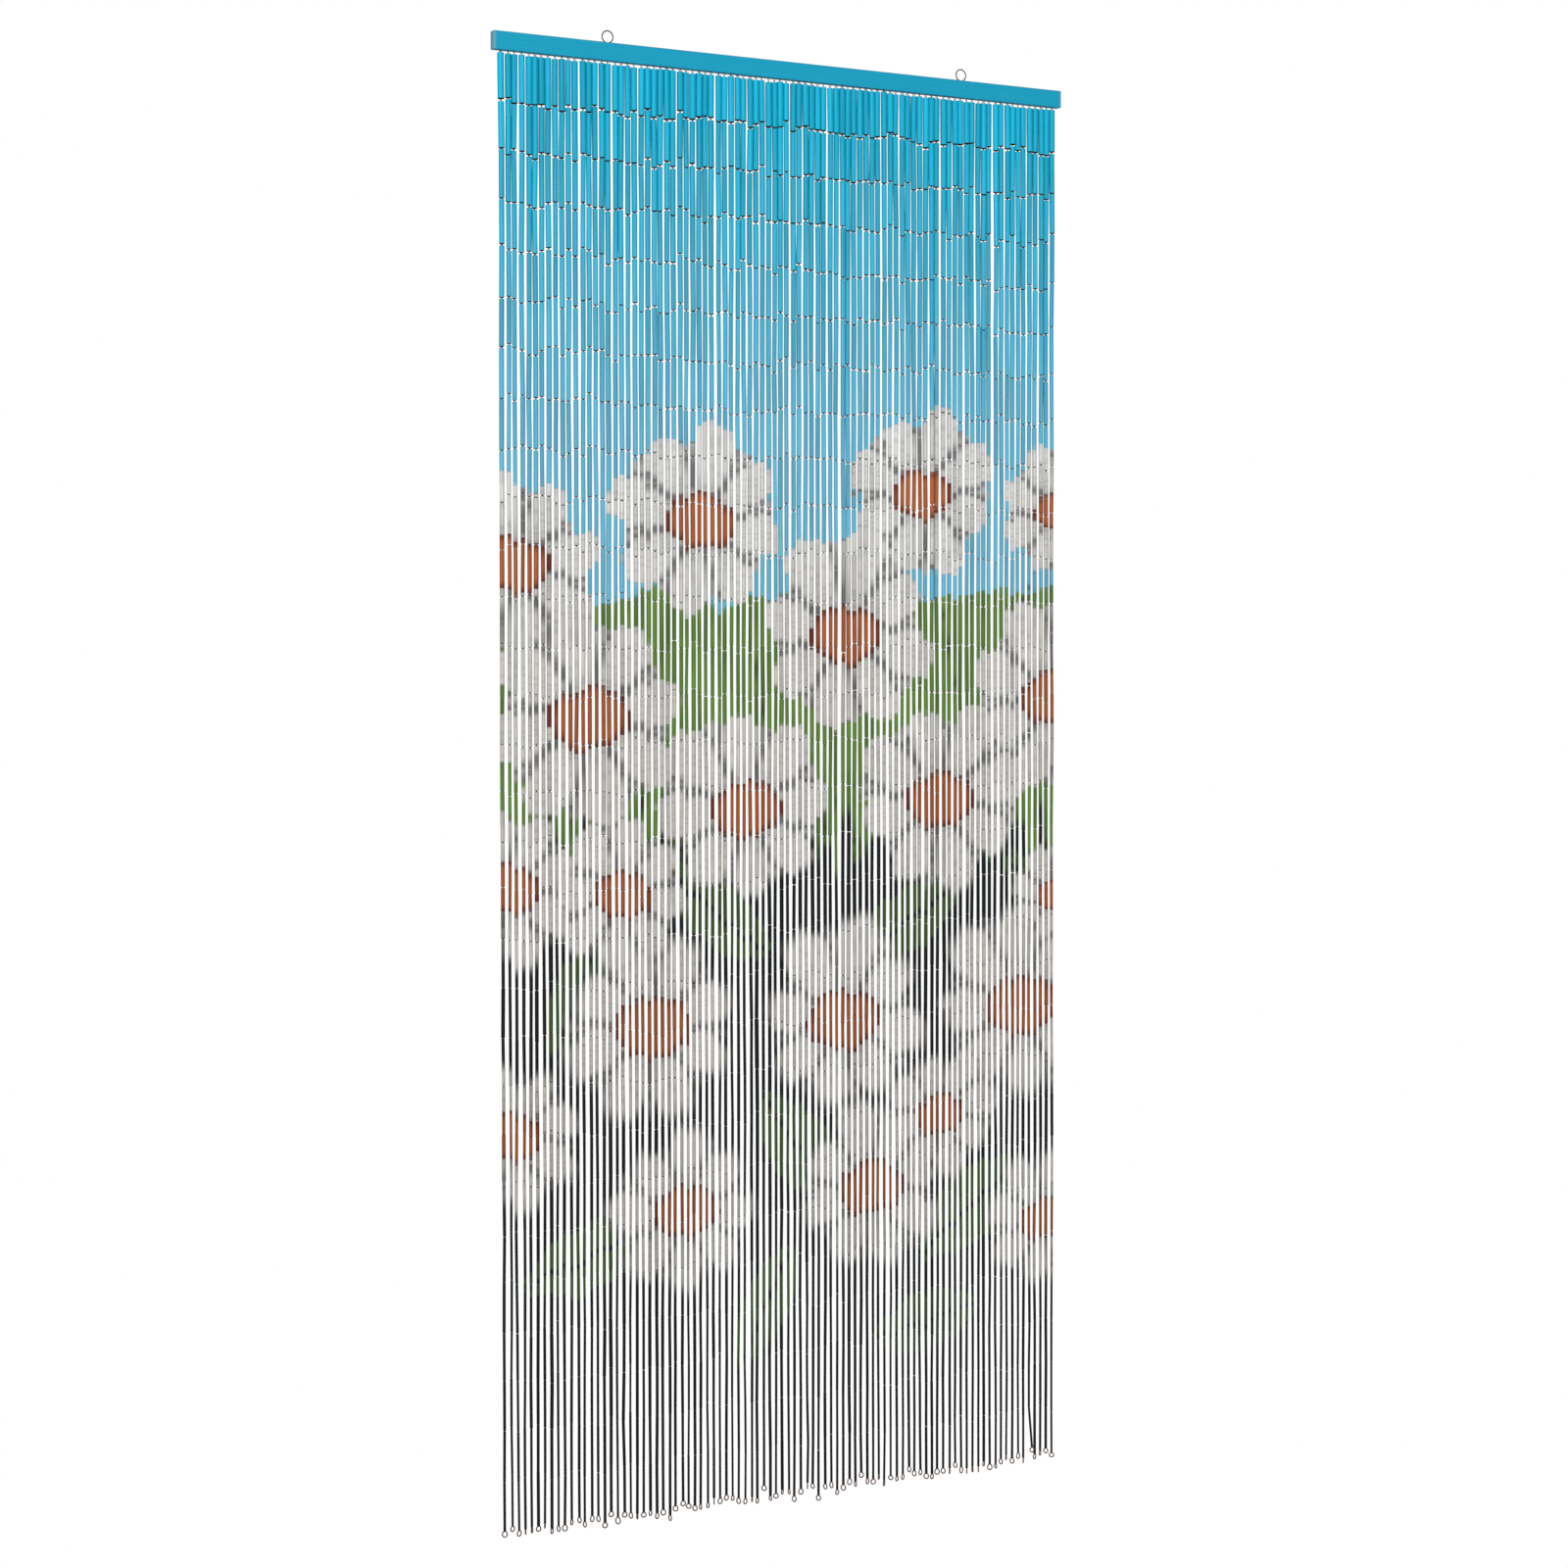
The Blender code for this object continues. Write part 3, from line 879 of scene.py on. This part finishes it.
def make_bamboo_paint(picture, grain):
    """Paint over bamboo, put on strand by strand, with dark brown painted shade at the cut ends and near-black
    painted shade in the bore.
    """
    material, tree, shader = new_material("bamboo_paint")
    place = add_node(tree, "ShaderNodeTexCoord").outputs["Object"]
    tone = add_node(tree, "ShaderNodeAttribute", attribute_name="tube_tone").outputs["Fac"]
    inside = add_node(tree, "ShaderNodeAttribute", attribute_name="tube_inside").outputs["Fac"]
    across = add_node(tree, "ShaderNodeAttribute", attribute_name="strand_place").outputs["Fac"]
    height = add_node(tree, "ShaderNodeSeparateXYZ", {0: place}).outputs[2]
    strand = maths(tree, "MULTIPLY", across, 977.0)
    slip = add_node(tree, "ShaderNodeTexWhiteNoise", {"W": strand}, noise_dimensions="1D").outputs["Value"]
    height = maths(tree, "ADD", height, maths(tree, "MULTIPLY_ADD", slip, PAINT_SLIP, -PAINT_SLIP / 2))
    colour = place_group(tree, picture, {"Across": across, "Up": height})["Colour"]
    fibres = place_group(tree, grain, {"Place": place, "Across": 1400.0, "Along": 45.0})["Fibres"]
    streaks = place_group(tree, grain, {"Place": place, "Across": 420.0, "Along": 9.0})["Fibres"]
    light = maths(tree, "MULTIPLY_ADD", tone, TONE_RANGE, TONE_LEAST)
    light = maths(tree, "MULTIPLY_ADD", maths(tree, "SUBTRACT", fibres, 0.5), FIBRE_CONTRAST, light)
    light = maths(tree, "MULTIPLY_ADD", maths(tree, "SUBTRACT", streaks, 0.5), STREAK_CONTRAST, light)
    toned = add_node(tree, "ShaderNodeHueSaturation", {"Color": colour, "Value": light}).outputs[0]
    # Dark brown painted shade on the tubes' ends, mottled by the fibres
    end_shade = blend_colours(tree, fibres, srgb(46, 40, 38), srgb(22, 18, 17))
    colour = blend_colours(tree, step_over(tree, inside, 0.05, 0.30), toned, end_shade)
    # Near-black painted shade inside the bore
    colour = blend_colours(tree, step_over(tree, inside, 0.6, 0.85), colour, srgb(12, 9, 8))
    bump = add_node(tree, "ShaderNodeBump", {"Height": fibres, "Strength": 0.25, "Distance": 0.0002})
    rough = maths(tree, "MULTIPLY_ADD", fibres, 0.25, 0.38)
    connect(tree, shader, Base_Color=colour, Roughness=rough, Normal=bump.outputs[0], Specular_IOR_Level=0.15)
    return material


def make_rail_paint(grain):
    """Blue paint on a slat: brushed along, thin on the sawn ends, grey in patches along the upper arrises, and
    worn at the back of the ends."""
    material, tree, shader = new_material("rail_paint")
    place = add_node(tree, "ShaderNodeTexCoord").outputs["Object"]
    turn = add_node(tree, "ShaderNodeMapping", {"Vector": place, "Rotation": (0.0, pi / 2, 0.0)}).outputs[0]
    fibres = place_group(tree, grain, {"Place": turn, "Across": 900.0, "Along": 14.0})["Fibres"]
    parts = add_node(tree, "ShaderNodeSeparateXYZ", {0: place}).outputs
    paint = blend_colours(tree, fibres, srgb(14, 148, 182), srgb(28, 166, 200))
    back = maths(tree, "DIVIDE", parts[1], RAIL_DEPTH / 2)
    up = maths(tree, "SUBTRACT", parts[2], (RAIL_TOP + RAIL_BOTTOM) / 2)
    up = maths(tree, "DIVIDE", up, (RAIL_TOP - RAIL_BOTTOM) / 2)
    from_end = maths(tree, "SUBTRACT", RAIL_LENGTH / 2, maths(tree, "ABSOLUTE", parts[0]))
    thin = maths(tree, "SUBTRACT", 1.0, step_over(tree, from_end, 0.0, 5.0 * MM))
    colour = blend_colours(tree, maths(tree, "MULTIPLY", thin, 0.75), paint, srgb(112, 164, 182))
    sawn = maths(tree, "SUBTRACT", 1.0, step_over(tree, from_end, 0.2 * MM, 1.0 * MM))
    arris = step_over(tree, maths(tree, "ABSOLUTE", back), 0.70, 0.86)
    # The upper arrises turn grey, more in some patches than in others
    above = maths(tree, "MULTIPLY", step_over(tree, up, 0.91, 0.985), arris)
    behind = maths(tree, "MULTIPLY", step_over(tree, back, 0.70, 0.95), sawn)
    greyed = maths(tree, "MAXIMUM", above, behind)
    patchy = add_node(tree, "ShaderNodeTexNoise", {"Vector": place, "Scale": 60.0, "Detail": 4.0}).outputs[0]
    patches = maths(tree, "MULTIPLY_ADD", step_over(tree, patchy, 0.4, 0.62), 0.5, 0.4)
    greyed = maths(tree, "MULTIPLY", greyed, patches)
    colour = blend_colours(tree, greyed, colour, srgb(98, 98, 96))
    bump = add_node(tree, "ShaderNodeBump", {"Height": fibres, "Strength": 0.25, "Distance": 0.0003})
    rough = maths(tree, "MULTIPLY_ADD", patchy, 0.2, 0.36)
    connect(tree, shader, Base_Color=colour, Roughness=rough, Normal=bump.outputs[0], Specular_IOR_Level=0.2)
    return material


def make_wire(name, bright, dull):
    """Drawn steel wire with dull patches."""
    material, tree, shader = new_material(name)
    place = add_node(tree, "ShaderNodeTexCoord").outputs["Object"]
    noise = add_node(tree, "ShaderNodeTexNoise", {"Vector": place, "Scale": 420.0, "Detail": 3.0})
    patches = noise.outputs[0]
    share = step_over(tree, patches, 0.40, 0.64)
    colour = blend_colours(tree, share, bright, dull)
    rough = maths(tree, "MULTIPLY_ADD", share, 0.25, 0.28)
    bump = add_node(tree, "ShaderNodeBump", {"Height": patches, "Strength": 0.15, "Distance": 0.0001})
    connect(tree, shader, Base_Color=colour, Roughness=rough, Metallic=0.5, Normal=bump.outputs[0])
    return material


# Studio


def make_floor():
    """A pale floor well below the curtain, which runs out to the horizon. To the camera it is plain white."""
    material, tree, shader = new_material("studio_white")
    place = add_node(tree, "ShaderNodeTexCoord").outputs["Object"]
    mottle = add_node(tree, "ShaderNodeTexNoise", {"Vector": place, "Scale": 3.0}).outputs[0]
    colour = blend_colours(tree, mottle, (0.93, 0.93, 0.93, 1.0), (0.95, 0.95, 0.95, 1.0))
    seen = add_node(tree, "ShaderNodeLightPath").outputs["Is Camera Ray"]
    colour = blend_colours(tree, seen, colour, (0.0, 0.0, 0.0, 1.0))
    connect(tree, shader, Base_Color=colour, Roughness=0.9, Specular_IOR_Level=0.0)
    connect(tree, shader, Emission_Color=(1.0, 1.0, 1.0, 1.0), Emission_Strength=seen)
    corners = np.array(((-1, -1, 0), (1, -1, 0), (1, 1, 0), (-1, 1, 0))) * FLOOR_HALF_WIDTH
    corners[:, 2] = FLOOR_HEIGHT
    floor = make_mesh("studio_floor", corners, [(0, 1, 2, 3)])
    floor.data.materials.append(material)


def make_world(seen, lighting):
    """White to the camera, and a softer white as a light."""
    world = bpy.data.worlds.new("studio")
    world.use_nodes = True
    bpy.context.scene.world = world
    tree = world.node_tree
    shader = tree.nodes["Background"]
    eye = add_node(tree, "ShaderNodeLightPath").outputs["Is Camera Ray"]
    strength = maths(tree, "MULTIPLY_ADD", eye, seen - lighting, lighting)
    shader.inputs["Color"].default_value = (1.0, 1.0, 1.0, 1.0)
    tree.links.new(strength, shader.inputs["Strength"])


def add_light(name, place, target, size, power):
    """A square area light that faces its target."""
    data = bpy.data.lights.new(name, "AREA")
    data.size = size
    data.energy = power
    light = bpy.data.objects.new(name, data)
    light.location = place
    light.rotation_euler = (Vector(target) - Vector(place)).to_track_quat("-Z", "Y").to_euler()
    bpy.context.scene.collection.objects.link(light)


def set_colours():
    """Colours come out as painted, and white as white."""
    bpy.context.scene.view_settings.view_transform = "Standard"


def add_camera():
    """The photograph's view, found from the rail's ends and the strands' feet."""
    data = bpy.data.cameras.new("camera")
    data.lens = CAMERA_LENS
    data.sensor_width = 36.0
    data.shift_y = CAMERA_SHIFT
    data.clip_end = 200.0
    camera = bpy.data.objects.new("camera", data)
    camera.location = CAMERA_PLACE
    camera.rotation_euler = CAMERA_TURN
    bpy.context.scene.collection.objects.link(camera)
    bpy.context.scene.camera = camera


# The curtain, put together

set_colours()
add_camera()
rng = np.random.default_rng(SEED)
links = hang_strands(rng)
part_strands(rng, links)
top, bottom, along = tube_ends(rng, links)
radius = tube_radius(rng, top, bottom)

grain = make_grain_group()
bamboo_paint = make_bamboo_paint(make_picture_group(), grain)
rail_paint = make_rail_paint(grain)
link_wire = make_wire("link_wire", srgb(84, 76, 70), srgb(46, 40, 36))
ring_wire = make_wire("ring_wire", srgb(116, 74, 48), srgb(70, 44, 30))
eye_wire = make_wire("eye_wire", srgb(128, 128, 126), srgb(66, 64, 62))

make_tubes(top, bottom, along, radius, rng, bamboo_paint)
make_links(rng, top, bottom, along, link_wire)
make_end_loops(rng, bottom, along, ring_wire)
make_hangers(rng, top, along, link_wire)
make_screw_eye("wire_eye_left", -1, eye_wire)
make_screw_eye("wire_eye_right", 1, eye_wire)

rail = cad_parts["rail"]
rail.data.materials.clear()
rail.data.materials.append(rail_paint)

make_floor()
make_world(WORLD_SEEN, WORLD_LIGHTING)
add_light("key", KEY_PLACE, KEY_TARGET, KEY_SIZE, KEY_POWER)
